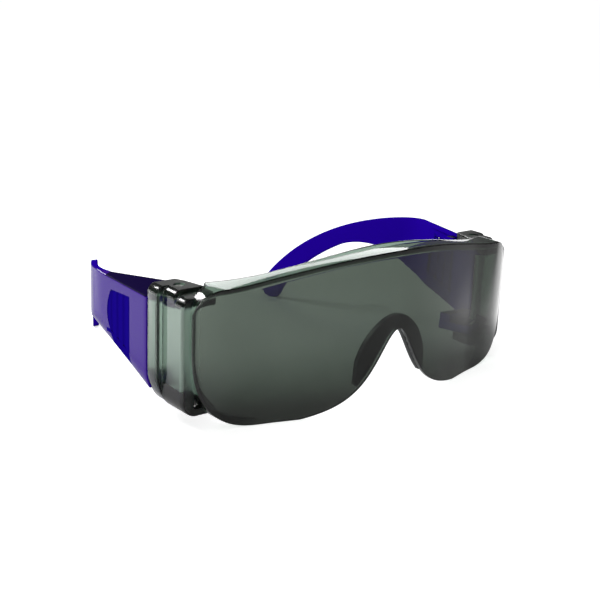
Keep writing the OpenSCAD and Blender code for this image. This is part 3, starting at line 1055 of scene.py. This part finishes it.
@dataclass
class NoseSaddle:
    """The soft flange that lies behind the lens along the nose arch."""

    lens: Lens = field(default_factory=Lens)
    width: float = 6.9
    crown_width: float = 5.0
    crown_x: float = 7.0
    depth: float = 2.4
    end_width: float = 1.4
    half_w: float = 14.9
    side_x: float = 15.5
    gap: float = 0.15
    arch_gap: float = 0.1
    edge_r: float = 0.8
    heel: float = 0.3
    probe: float = 0.05  # half of the run over which the arch's slope is measured
    sections: int = 84

    def reach(self, x: float) -> float:
        """Widens the flange from the nose down, and stands it upright outside its legs.

        Args:
            x: Distance from the middle plane.

        Returns:
            The flange's width.
        """
        u, h = abs(x), self.probe
        full = self.crown_width + (self.width - self.crown_width) * smooth_step(0, self.crown_x, u)
        s = (self.lens.arch(abs(u - h)) - self.lens.arch(u + h)) / (2 * h)
        room = max(self.side_x - u, 0.01) * math.hypot(s, 1) / max(s, 0.1)
        return max((full ** -5 + room ** -5) ** -0.2, self.end_width)

    def spot(self, x: float, out: float, back: float) -> Point:
        """A point of the saddle.

        Args:
            x: Place along the arch.
            out: Distance out from the arch, square to it.
            back: Distance back from the flange's front.

        Returns:
            The point, in mm.
        """
        h = self.probe
        s = (self.lens.arch(abs(x + h)) - self.lens.arch(abs(x - h))) / (2 * h)
        size = math.hypot(s, 1)
        px = x - s / size * out
        y = self.lens.face(px) + self.lens.wall + self.gap + back
        return px, y, self.lens.arch(abs(x)) + out / size

    def section(self, x: float) -> list[Point]:
        """Draws one section of the flange.

        Args:
            x: Distance from the middle plane.

        Returns:
            The closed section, from the arch outwards and back.
        """
        reach = self.reach(x)
        near, far, heel = self.arch_gap, self.arch_gap + reach, self.heel
        r = min(self.edge_r, 0.45 * reach)
        edge = [(r * (1 - sine), self.depth - r * (1 - cosine)) for sine, cosine in arc(6)]
        row = [(near + out, back) for out, back in reversed(edge)]
        row += [(near + r + (reach - 2 * r) * (j + 1) / 7, self.depth) for j in range(6)]
        row += [(far - out, back) for out, back in edge]
        row += [(far, 0.5), (far - 0.06, 0.1), (far - heel, 0.0)]
        row += [(far - heel - (reach - 2 * heel) * (j + 1) / 7, 0.0) for j in range(6)]
        row += [(near + heel, 0.0), (near + 0.06, 0.1), (near, 0.5)]
        return [self.spot(x, out, back) for out, back in row]

    def build(self, rubber: bpy.types.Material) -> bpy.types.Object:
        """Lofts the saddle, dresses it and replaces the CAD saddle.

        Args:
            rubber: The saddle's finish.

        Returns:
            The dressed saddle.
        """
        places = [2 * i / self.sections - 1 for i in range(self.sections + 1)]
        rows = [self.section(self.half_w * math.copysign(abs(t) ** 1.25, t)) for t in places]
        saddle = Bench.loft("soft_nose_saddle", rows)
        Bench.dress(saddle, [rubber], 40)
        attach(saddle, Body.SHIELD.value)
        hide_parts("nose_saddle")
        return saddle


@dataclass
class Temple:
    """A violet temple: blade, shoulder, louvred vent, hook and two hinge ears, in mm."""

    front: float = 40.0
    outer: float = 76.5
    wall: float = 2.4
    top: float = 43.6
    front_rise: float = 1.6
    arc_r: float = 74.7
    arc_y: float = 69.5
    band: float = 7.1
    foot: float = 8.8
    rise: float = 0.53
    corner_w: float = 8.6
    corner_h: float = 13.0
    lip: float = 0.8
    lean: float = 3.8
    hook: float = 29.4
    shoulder_w: float = 9.5
    shoulder_drop: float = 4.2
    shoulder_t: float = 2.2
    shoulder_end: float = 63.5
    tilt: float = 6.2
    vent_y: float = 49.5
    vent_r: float = 13.4
    vent_top: float = 38.6
    vent_drop: float = 7.8
    vent_margin: float = 5.0
    louvre_pitch: float = 3.6
    louvre_t: float = 1.7
    louvre_angle: float = 38.0
    hinge_x: float = HINGE_X
    hinge_y: float = HINGE_Y
    ear_r: float = 3.8
    ear_t: float = 3.4
    ear_reach: float = 4.0
    upper_ear: float = 39.1
    lower_ear: float = 7.5
    bore_r: float = 2.05
    rise_fade: float = 0.0022
    notch_ends: Flat = (12.6, 33.6)  # behind the arc's middle, as are the next two
    notch_mid: float = 22.5
    bend: Flat = (-5.6, 12.3)
    corner_share: float = 0.915
    round_r: float = 0.4
    foot_r: float = 0.35
    fillet: float = 1.2
    root_r: float = 0.25
    track: list[float] = field(default_factory=list)
    track_step: float = 0.25

    def __post_init__(self) -> None:
        """Walks along the temple's outer face and notes its X at every step."""
        x, y = self.outer, self.front
        while y < self.end_y + 2:
            self.track.append(x)
            x -= self.track_step * math.tan(math.radians(self.heading(y + self.track_step / 2)))
            y += self.track_step

    @property
    def arc_z(self) -> float:
        """Height of the centre of the top edge's arc."""
        return self.top - self.arc_r

    @property
    def tip_r(self) -> float:
        """Radius of the rounded tip."""
        return self.band / 2

    @property
    def tip_turn(self) -> float:
        """Angle along the arc at which the tip begins, in radians."""
        return math.acos((self.tip_r - self.arc_z) / (self.arc_r - self.tip_r))

    @property
    def tip_y(self) -> float:
        """Setback of the tip's centre."""
        return self.arc_y + (self.arc_r - self.tip_r) * math.sin(self.tip_turn)

    @property
    def end_y(self) -> float:
        """Rearmost point of the temple."""
        return self.tip_y + self.tip_r

    @property
    def notch(self) -> Flat:
        """Ends of the fillet between blade and hook."""
        return self.arc_y + self.notch_ends[0], self.arc_y + self.notch_ends[1]

    @property
    def vent_mid(self) -> float:
        """Height of the middle of the vent's round end."""
        return self.vent_top - self.vent_drop

    def heading(self, y: float) -> float:
        """Inward heading of the temple at y, in degrees."""
        turned = smooth_step(self.arc_y + self.bend[0], self.arc_y + self.bend[1], y)
        return (self.lean + self.hook) * turned - self.lean

    def face(self, y: float) -> float:
        """Follows the outer face.

        Args:
            y: Setback.

        Returns:
            X of the outer face.
        """
        spot = clamp((y - self.front) / self.track_step, 0, len(self.track) - 1.001)
        i = int(spot)
        return self.track[i] + (self.track[i + 1] - self.track[i]) * (spot - i)

    def blade_edge(self, y: float) -> float:
        """Height of the blade's lower edge at y."""
        run = y - self.front
        return self.foot + self.rise * run - self.rise_fade * run ** 2

    def hook_edge(self, y: float) -> float:
        """Height of the hook's lower edge at y."""
        r = self.arc_r - self.band
        return self.arc_z + math.sqrt(max(r * r - (y - self.arc_y) ** 2, 0))

    def low(self, y: float) -> float:
        """Follows the lower edge along blade, fillet, hook and tip.

        Args:
            y: Setback.

        Returns:
            Height of the lower edge.
        """
        start, stop = self.notch
        if y <= start:
            return self.blade_edge(y)
        if y <= stop:
            mid_y, mid_z = self.arc_y + self.notch_mid, self.hook_edge((start + stop) / 2)
            a, b = start - 2 * mid_y + stop, 2 * (mid_y - start)
            t = (y - start) / b
            if abs(a) > 1e-6:
                t = (-b + math.sqrt(b * b - 4 * a * (start - y))) / (2 * a)
            return ((1 - t) ** 2 * self.blade_edge(start) + 2 * t * (1 - t) * mid_z
                    + t * t * self.hook_edge(stop))
        if y <= self.tip_y - self.tip_r * math.sin(self.tip_turn):
            return self.hook_edge(y)
        return self.tip_r - math.sqrt(max(self.tip_r ** 2 - (y - self.tip_y) ** 2, 0))

    def high(self, y: float) -> float:
        """Follows the top edge along blade, hook and tip.

        Args:
            y: Setback.

        Returns:
            Height of the top edge.
        """
        if y <= self.arc_y:
            return self.top + self.front_rise * (self.arc_y - y) / (self.arc_y - self.front)
        if y <= self.tip_y + self.tip_r * math.sin(self.tip_turn):
            return self.arc_z + math.sqrt(self.arc_r ** 2 - (y - self.arc_y) ** 2)
        return self.tip_r + math.sqrt(max(self.tip_r ** 2 - (y - self.tip_y) ** 2, 0))

    def slope_z(self, x: float, y: float) -> float:
        """Lays the shoulder's sloping plane.

        Args:
            x: Distance from the middle plane.
            y: Setback.

        Returns:
            Height of the plane.
        """
        turn = math.radians(self.tilt)
        start = self.top + self.front_rise - self.shoulder_drop
        fall = self.shoulder_drop / self.shoulder_w * (self.outer - x)
        return start + (y - self.front) * math.tan(turn) + fall / math.cos(turn)

    def roof(self, x: float, y: float) -> float:
        """Height of the temple's upper surface at (x, y)."""
        return min(self.slope_z(x, y), self.high(y))

    def skin(self, y: float, z: float) -> float:
        """Rounds the outer face in to the blade's lower corner.

        Args:
            y: Setback.
            z: Height.

        Returns:
            X of the outer surface.
        """
        slope = self.corner_share * self.rise
        turn = 1 - (self.wall - self.lip) / self.corner_w
        lift = self.corner_h * (1 - math.sqrt(1 - turn * turn))
        line = self.outer + math.tan(math.radians(self.lean)) * (y - self.front)
        below = (self.foot - lift + slope * (y - self.front) + self.corner_h - z) / self.corner_h
        if below <= 0:
            return self.face(y)
        inset = self.corner_w * (1 - math.sqrt(max(1 - min(below, 1) ** 2, 0)))
        return min(self.face(y), line - inset)

    @staticmethod
    def turned(a: Flat, corner: Flat, b: Flat, count: int) -> list[Flat]:
        """Rounds a corner.

        Args:
            a: Where the rounding starts.
            corner: The corner itself.
            b: Where the rounding ends.
            count: Number of steps from a to b.

        Returns:
            The points from a to b.
        """
        return [tuple((1 - t) ** 2 * a[k] + 2 * t * (1 - t) * corner[k] + t * t * b[k]
                      for k in range(2)) for t in (j / count for j in range(count + 1))]

    def ring(self, y: float, shrink: float) -> list[Point]:
        """One closed section of the temple.

        Args:
            y: Setback of the section.
            shrink: How far its outline is drawn in on all sides.

        Returns:
            The section's points, in order.
        """
        s, count = shrink, 16
        thick = self.wall / math.cos(math.radians(self.heading(y)))
        xo, xi = self.face(y) - s, self.face(y) - thick + s
        zb, zt = self.low(y) + s, self.roof(self.face(y), y) - s
        wing = clamp((self.shoulder_end - y) / (self.shoulder_end - self.front), 0, 1)
        inner_end = self.outer - self.shoulder_w
        last = self.face(self.shoulder_end) - self.wall
        xe = min(last + (inner_end - last) * wing + s, xi) if wing > 0 else xi
        tall, width = zt - zb, max(xi - xe, 0)
        edge = min(self.round_r, 0.3 * tall)
        under = min(self.shoulder_t / math.cos(math.radians(self.tilt)), 0.6 * tall)

        def skin(z: float) -> float:
            """X of the outer surface at z, kept clear of the inner one."""
            return max(min(self.skin(y, z), self.face(y)) - s, xi + 0.3)

        def roof(x: float) -> float:
            """Height of the upper surface at x."""
            return self.roof(x, y) - s

        def below(x: float) -> float:
            """Height of the shoulder's underside at x."""
            return roof(x) - under + s

        r = min(self.foot_r, 0.4 * (skin(zb) - xi), 0.25 * tall)
        points = self.turned((skin(zb) - r, zb), (skin(zb), zb), (skin(zb + r), zb + r), 4)
        rises = [zb + r + (zt - edge - zb - r) * j / count for j in range(1, count)]
        points += [(skin(z), z) for z in rises]
        points += self.turned((xo, zt - edge), (xo, zt), (xo - edge, roof(xo - edge)), 5)
        across = [xo - edge + (xe + edge - xo + edge) * j / 9 for j in range(1, 9)]
        points += [(x, roof(x)) for x in across]
        ze = roof(xe)
        points += self.turned((xe + edge, roof(xe + edge)), (xe, ze), (xe, ze - edge), 5)
        q, w = min(self.round_r, 0.4 * width), min(self.fillet, 0.45 * width)
        points += self.turned((xe, below(xe) + q), (xe, below(xe)), (xe + q, below(xe + q)), 4)
        back = [xe + q + (xi - w - xe - q) * j / 4 for j in range(1, 4)]
        points += [(x, below(x)) for x in back]
        low_z = below(xi) - w
        points += self.turned((xi - w, below(xi - w)), (xi, below(xi)), (xi, low_z), 4)
        points += [(xi, low_z + (zb + r - low_z) * j / count) for j in range(1, count)]
        points += self.turned((xi, zb + r), (xi, zb), (xi + r, zb), 4)
        return [(px, y, pz) for px, pz in points]

    def body(self) -> bpy.types.Object:
        """Lofts blade, shoulder and hook as one wall.

        Returns:
            The wall.
        """
        stations = [(self.front, 0.35), (self.front + 0.1, 0.1), (self.front + 0.35, 0.0)]
        y, last = self.front + 1.5, self.end_y - 2.4
        while y < last:
            stations.append((y, 0.0))
            y += 0.9 if self.arc_y - 7 < y < self.arc_y + 14 else 1.4
        stations += [(last + 2.38 * sine, 0.0) for sine, _ in arc(12)[1:-1]]
        return Bench.loft("temple_body", [self.ring(*station) for station in stations])

    def sill(self, y: float) -> float:
        """Height of the vent's lower border at y."""
        return self.blade_edge(y) + self.vent_margin

    def vent(self) -> bpy.types.Object:
        """Makes the cutter for the vent's window.

        Returns:
            The cutter.
        """
        mid, r = self.vent_mid, self.vent_r
        along = math.sqrt(r ** 2 - (self.vent_top - mid) ** 2)
        outline: list[Flat] = [(self.vent_y, self.vent_top), (self.vent_y + along, self.vent_top)]
        turn = math.asin((self.vent_top - mid) / r) - math.radians(5)
        y, z = self.vent_y + r * math.cos(turn), mid + r * math.sin(turn)
        while z >= self.sill(y):
            outline.append((y, z))
            turn -= math.radians(5)
            y, z = self.vent_y + r * math.cos(turn), mid + r * math.sin(turn)
        y = outline[-1][0]
        along_sill = [y + (self.vent_y - y) * j / 4 for j in range(5)]
        outline += [(v, self.sill(v)) for v in along_sill]
        return Bench.prism("vent_cutter", [(70.0, y, z) for y, z in outline], (14, 0, 0))

    def louvre(self, i: int) -> bpy.types.Object:
        """Makes a slanted louvre of the vent, set a little below both faces.

        Args:
            i: Its number, from the front.

        Returns:
            The louvre.
        """
        y = self.vent_y + self.louvre_pitch * (i + 0.2)
        x, half = self.face(y) - self.wall / 2, self.wall / 2 - 0.12
        turn = math.radians(self.louvre_angle)
        run, wide = half / math.tan(turn), self.louvre_t / math.sin(turn) / 2
        tall = math.sqrt(max(self.vent_r ** 2 - (y - self.vent_y) ** 2, 1))
        z0 = max(self.sill(y), self.vent_mid - tall) - 1.2
        z1 = min(self.vent_top, self.vent_mid + tall) + 0.6
        outline = [(x - half, y - run - wide, z0), (x - half, y - run + wide, z0),
                   (x + half, y + run + wide, z0), (x + half, y + run - wide, z0)]
        return Bench.prism("louvre", outline, (0, 0, z1 - z0), rim=0.2)

    def ear(self, z: float) -> bpy.types.Object:
        """Makes a hinge ear, from the pin's axis to its root at the blade.

        Args:
            z: Height of its underside.

        Returns:
            The ear, not yet drilled.
        """
        x, y, r = self.hinge_x, self.hinge_y, self.ear_r
        rear = self.front + self.ear_reach
        turn = [(x + r * cosine, y - r * sine, z) for sine, cosine in arc(24, 180)]
        outline = [(x + r, rear, z), *turn, (x - r, rear, z)]
        return Bench.prism("ear", outline, (0, 0, self.ear_t), rim=0.35)

    def roots(self) -> list[bpy.types.Object]:
        """Makes the blocks that join the ears to the shoulder and to the blade.

        Returns:
            The upper and the lower block.
        """
        y, run = self.front + 0.06, self.ear_reach - 0.1
        x0, x1 = self.hinge_x - self.ear_r + 0.05, self.hinge_x + self.ear_r - 0.05
        z0, z1 = self.upper_ear + 0.05, self.top - 0.1
        upper = [(x0, y, z0), (x1, y, z0), (x1, y, z0 + 2.2), (x0 + 2.8, y, z1), (x0, y, z1)]
        low0, low1 = self.lower_ear + self.ear_t - 0.5, self.lower_ear + self.ear_t + 3
        x2 = self.outer - self.wall + 0.4
        lower = [(x0, y, low0), (x2, y, low0), (x2, y, low1), (x0, y, low1)]
        return [Bench.prism("root", outline, (0, run, 0), rim=self.root_r)
                for outline in (upper, lower)]

    def build(self) -> bpy.types.Object:
        """Joins all parts of the right temple.

        Returns:
            The right temple.
        """
        temple = self.body()
        Bench.combine(temple, self.vent(), "DIFFERENCE")
        for i in range(int(self.vent_r // self.louvre_pitch) + 1):
            Bench.combine(temple, self.louvre(i), "UNION")
        for part in (*self.roots(), self.ear(self.upper_ear), self.ear(self.lower_ear)):
            Bench.combine(temple, part, "UNION")
        Bench.drill(temple, self.bore_r)
        return temple

    def finish_of(self, face: bpy.types.MeshPolygon, side: float) -> VioletPlastic:
        """Picks the finish of a face by its place.

        Args:
            face: A face of a temple.
            side: 1 on the right temple, -1 on the left one.

        Returns:
            The thick look on the shoulder, the dull one in the vent, or that of its side.
        """
        x, z = face.center.x / MM * side, face.center.z / MM
        setback = face.center.y / MM + HALF_DEPTH
        # Painted shade: the shoulder's faces that look up take a far darker violet
        if face.normal.z > 0.5 and setback < self.shoulder_end:
            return VioletPlastic.THICK
        sunk = min(self.face(setback), self.skin(setback, z)) - x > 0.1
        sill = self.sill(setback)
        under = (math.hypot(setback - self.vent_y, sill - self.vent_mid) < self.vent_r
                 and setback > self.vent_y and z < sill + 0.05)
        within = math.hypot(setback - self.vent_y, z - self.vent_mid) < self.vent_r + 0.35
        # Painted shade: the vent's louvres and sill take a darker violet
        if (setback > self.vent_y - 0.3 and z < self.vent_top + 0.3
                and (under or (within and z > sill and sunk))):
            return VioletPlastic.LOUVRE
        # Outward faces are glossy and carry a painted sheen in their colour; the others are satin
        return VioletPlastic.POLISHED if face.normal.x * side > 0.3 else VioletPlastic.SATIN

    def pair(self, finishes: Sequence[bpy.types.Material]) -> list[bpy.types.Object]:
        """Builds both temples, dresses them and replaces the CAD ones.

        Args:
            finishes: One material for each look in VioletPlastic, in its order.

        Returns:
            The right and the left temple.
        """
        right = Bench.named(self.build(), "right_temple_moulding")
        left = Bench.mirrored(right, "left_temple_moulding")
        for temple, side, arm in ((right, Side.RIGHT, Body.RIGHT_ARM), (left, Side.LEFT, Body.LEFT_ARM)):
            Bench.dress(temple, finishes, 30)
            for face in temple.data.polygons:
                face.material_index = self.finish_of(face, side.value).number
            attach(temple, arm.value)
            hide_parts(f"{side.word}_temple")
        return [right, left]


@dataclass
class HingePins:
    """The four turned pins, sunk a little into the lugs, in mm."""

    radius: float = 2.0
    upper: Flat = (39.1, 45.4)
    lower: Flat = (4.6, 10.9)
    chamfer: float = 0.3
    dimple_r: float = 0.6
    dimple_depth: float = 0.35

    def pin(self, name: str, span: Flat) -> bpy.types.Object:
        """Turns one pin.

        Args:
            name: Name of the pin.
            span: Heights of its ends in mm.

        Returns:
            The pin on the right hinge's axis.
        """
        Bench.clear()
        bpy.ops.mesh.primitive_cylinder_add(
            vertices=64, radius=self.radius * MM, depth=(span[1] - span[0]) * MM,
            location=world((HINGE_X, HINGE_Y, (span[0] + span[1]) / 2)))
        pin = Bench.named(bpy.context.object, name)
        bpy.ops.object.transform_apply(location=True, rotation=False, scale=False)
        Bench.round_edges(pin, self.chamfer, 2)
        bpy.ops.object.mode_set(mode="EDIT")
        bpy.ops.mesh.select_mode(type="FACE")
        rim = self.radius - self.chamfer - self.dimple_r
        for up in (1, -1):
            Bench.select_faces(pin, lambda face: face.normal.z * up > 0.99 and len(face.verts) > 8)
            bpy.ops.mesh.inset(thickness=rim * MM)
            bpy.ops.mesh.inset(thickness=self.dimple_r * 0.8 * MM, depth=-self.dimple_depth * MM)
        bpy.ops.object.mode_set(mode="OBJECT")
        return pin

    def build(self, steel: bpy.types.Material) -> list[bpy.types.Object]:
        """Makes all four pins, dresses them and replaces the CAD ones.

        Args:
            steel: The pins' finish.

        Returns:
            The dressed pins.
        """
        pins = []
        for level, span in (("upper", self.upper), ("lower", self.lower)):
            right = self.pin(f"right_{level}_turned_pin", span)
            left = Bench.mirrored(right, f"left_{level}_turned_pin")
            for pin, side in ((right, Side.RIGHT), (left, Side.LEFT)):
                Bench.dress(pin, [steel], 30)
                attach(pin, Body.SHIELD.value)
                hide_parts(f"{side.word}_{level}_pin")
                pins.append(pin)
        return pins


@dataclass
class Studio:
    """White floor and backdrop, soft lamps and the photograph's camera."""

    camera_at: Point = (-0.27109, -0.34749, 0.15439)
    azimuth: float = 39.01
    elevation: float = 16.83
    roll: float = 2.39
    focal: float = 71.48
    floor_size: float = 6.0
    paper: Colour = (0.82, 0.82, 0.82)
    floor_glow: float = 0.6
    shade_x: Flat = (0.085, 0.125)
    shade_y: Flat = (-0.088, -0.042)
    sky_light: float = 0.5
    sky_mirrored: float = 0.12
    lamps_aim: Point = (0.0, 0.0, 0.02)

    def camera(self) -> None:
        """Places the camera at the photograph's viewing angle."""
        az, el, roll = (math.radians(v) for v in (self.azimuth, self.elevation, self.roll))
        back = Vector((-math.sin(az) * math.cos(el), -math.cos(az) * math.cos(el), math.sin(el)))
        right = Vector((math.cos(az), -math.sin(az), 0))
        up = back.cross(right)
        across = right * math.cos(roll) + up * math.sin(roll)
        upward = -right * math.sin(roll) + up * math.cos(roll)
        view = bpy.data.objects.new("camera", bpy.data.cameras.new("camera"))
        bpy.context.scene.collection.objects.link(view)
        view.matrix_world = Matrix.Translation(self.camera_at) @ Matrix(
            (across, upward, back)).transposed().to_4x4()
        view.data.lens = self.focal
        view.data.sensor_width = 36
        view.data.clip_start = 0.01
        bpy.context.scene.camera = view

    def floor(self) -> None:
        """A pale floor that keeps the object's shadow, and gleams in what mirrors it."""
        Bench.clear()
        bpy.ops.mesh.primitive_plane_add(size=self.floor_size, location=(0, 0, 0))
        floor = bpy.context.object
        floor.name = "studio_floor"
        made = bpy.data.materials.new("pale_floor")
        wiring = Wiring(made, bare=True)
        ray = wiring.ray()
        spot = wiring.add("SeparateXYZ", {0: wiring.here()}).outputs
        # The floor close beside the glasses lies in their shade
        clear = wiring.span(wiring.math("ABSOLUTE", spot["X"]), self.shade_x, smooth=True)
        back = wiring.span(spot["Y"], self.shade_y, (0.0, clear), smooth=True)
        # A refracted ray counts as glossy too, and takes no gleam
        turned = wiring.math("SUBTRACT", ray["Is Glossy Ray"], ray["Is Transmission Ray"],
                             clamped=True)
        gleam = wiring.math("MULTIPLY", turned, back)
        level = wiring.math("MULTIPLY_ADD", ray["Is Camera Ray"], self.floor_glow, gleam)
        paper = wiring.add("BsdfDiffuse", {"Color": (*self.paper, 1)})
        glow = wiring.add("Emission", {"Strength": level})
        both = wiring.add("AddShader", {0: paper.outputs[0], 1: glow.outputs[0]})
        wiring.add("OutputMaterial", {"Surface": both.outputs[0]})
        floor.data.materials.append(made)

    def sky(self) -> None:
        """A plain white surround that lights the glasses evenly, dimmer where it is mirrored."""
        sky = bpy.data.worlds.new("white_surround")
        bpy.context.scene.world = sky
        wiring = Wiring(sky, bare=True)
        ray = wiring.ray()
        seen = wiring.math("MAXIMUM", ray["Is Camera Ray"], ray["Is Transmission Ray"])
        light = wiring.span(ray["Is Glossy Ray"], target=(self.sky_light, self.sky_mirrored))
        level = wiring.span(seen, target=(light, 1.0))
        shade = wiring.add("Background", {"Color": (1, 1, 1, 1), "Strength": level})
        wiring.add("OutputWorld", {"Surface": shade.outputs[0]})

    def lamp(self, name: str, at: Point, size: Flat, power: float) -> None:
        """Adds a soft rectangular lamp that faces the glasses.

        Args:
            name: Name of the lamp.
            at: Its place in metres.
            size: Its width and height in metres.
            power: Its power in watts.
        """
        lamp = bpy.data.lights.new(name, "AREA")
        lamp.shape = "RECTANGLE"
        lamp.size, lamp.size_y = size
        lamp.energy = power
        holder = bpy.data.objects.new(name, lamp)
        bpy.context.scene.collection.objects.link(holder)
        holder.location = at
        aim = Vector(self.lamps_aim) - Vector(at)
        holder.rotation_mode = "QUATERNION"
        holder.rotation_quaternion = aim.to_track_quat("-Z", "Y")
        holder.visible_camera = False
        holder.visible_transmission = False

    def build(self) -> None:
        """Sets up camera, floor, surround and lamps."""
        bpy.context.scene.view_settings.view_transform = "Standard"
        self.camera()
        self.floor()
        self.sky()
        self.lamp("brow_lamp", (0.28, 0.386, 0.314), (0.30, 0.17), 0.6)
        self.lamp("rim_lamp", (-0.211, 0.342, 0.33), (0.16, 0.12), 1.4)
        self.lamp("side_lamp", (-0.9, -0.35, 0.3), (0.5, 0.5), 4.0)


def build_glasses() -> None:
    """Builds every sub-assembly in order and logs each piece."""
    pieces = [Visor().build(SmokedPlastic().material()), NoseSaddle().build(SOFT_RUBBER.material())]
    pieces += Temple().pair([finish.material() for finish in VioletPlastic])
    pieces += HingePins().build(TURNED_STEEL.material())
    for piece in pieces:
        LOG.info("%s has %d faces", piece.name, len(piece.data.polygons))


def main() -> None:
    """Builds the glasses and the studio."""
    logging.basicConfig(level=logging.INFO, format="%(name)s: %(message)s")
    build_glasses()
    Studio().build()


if __name__ == "__main__":
    main()
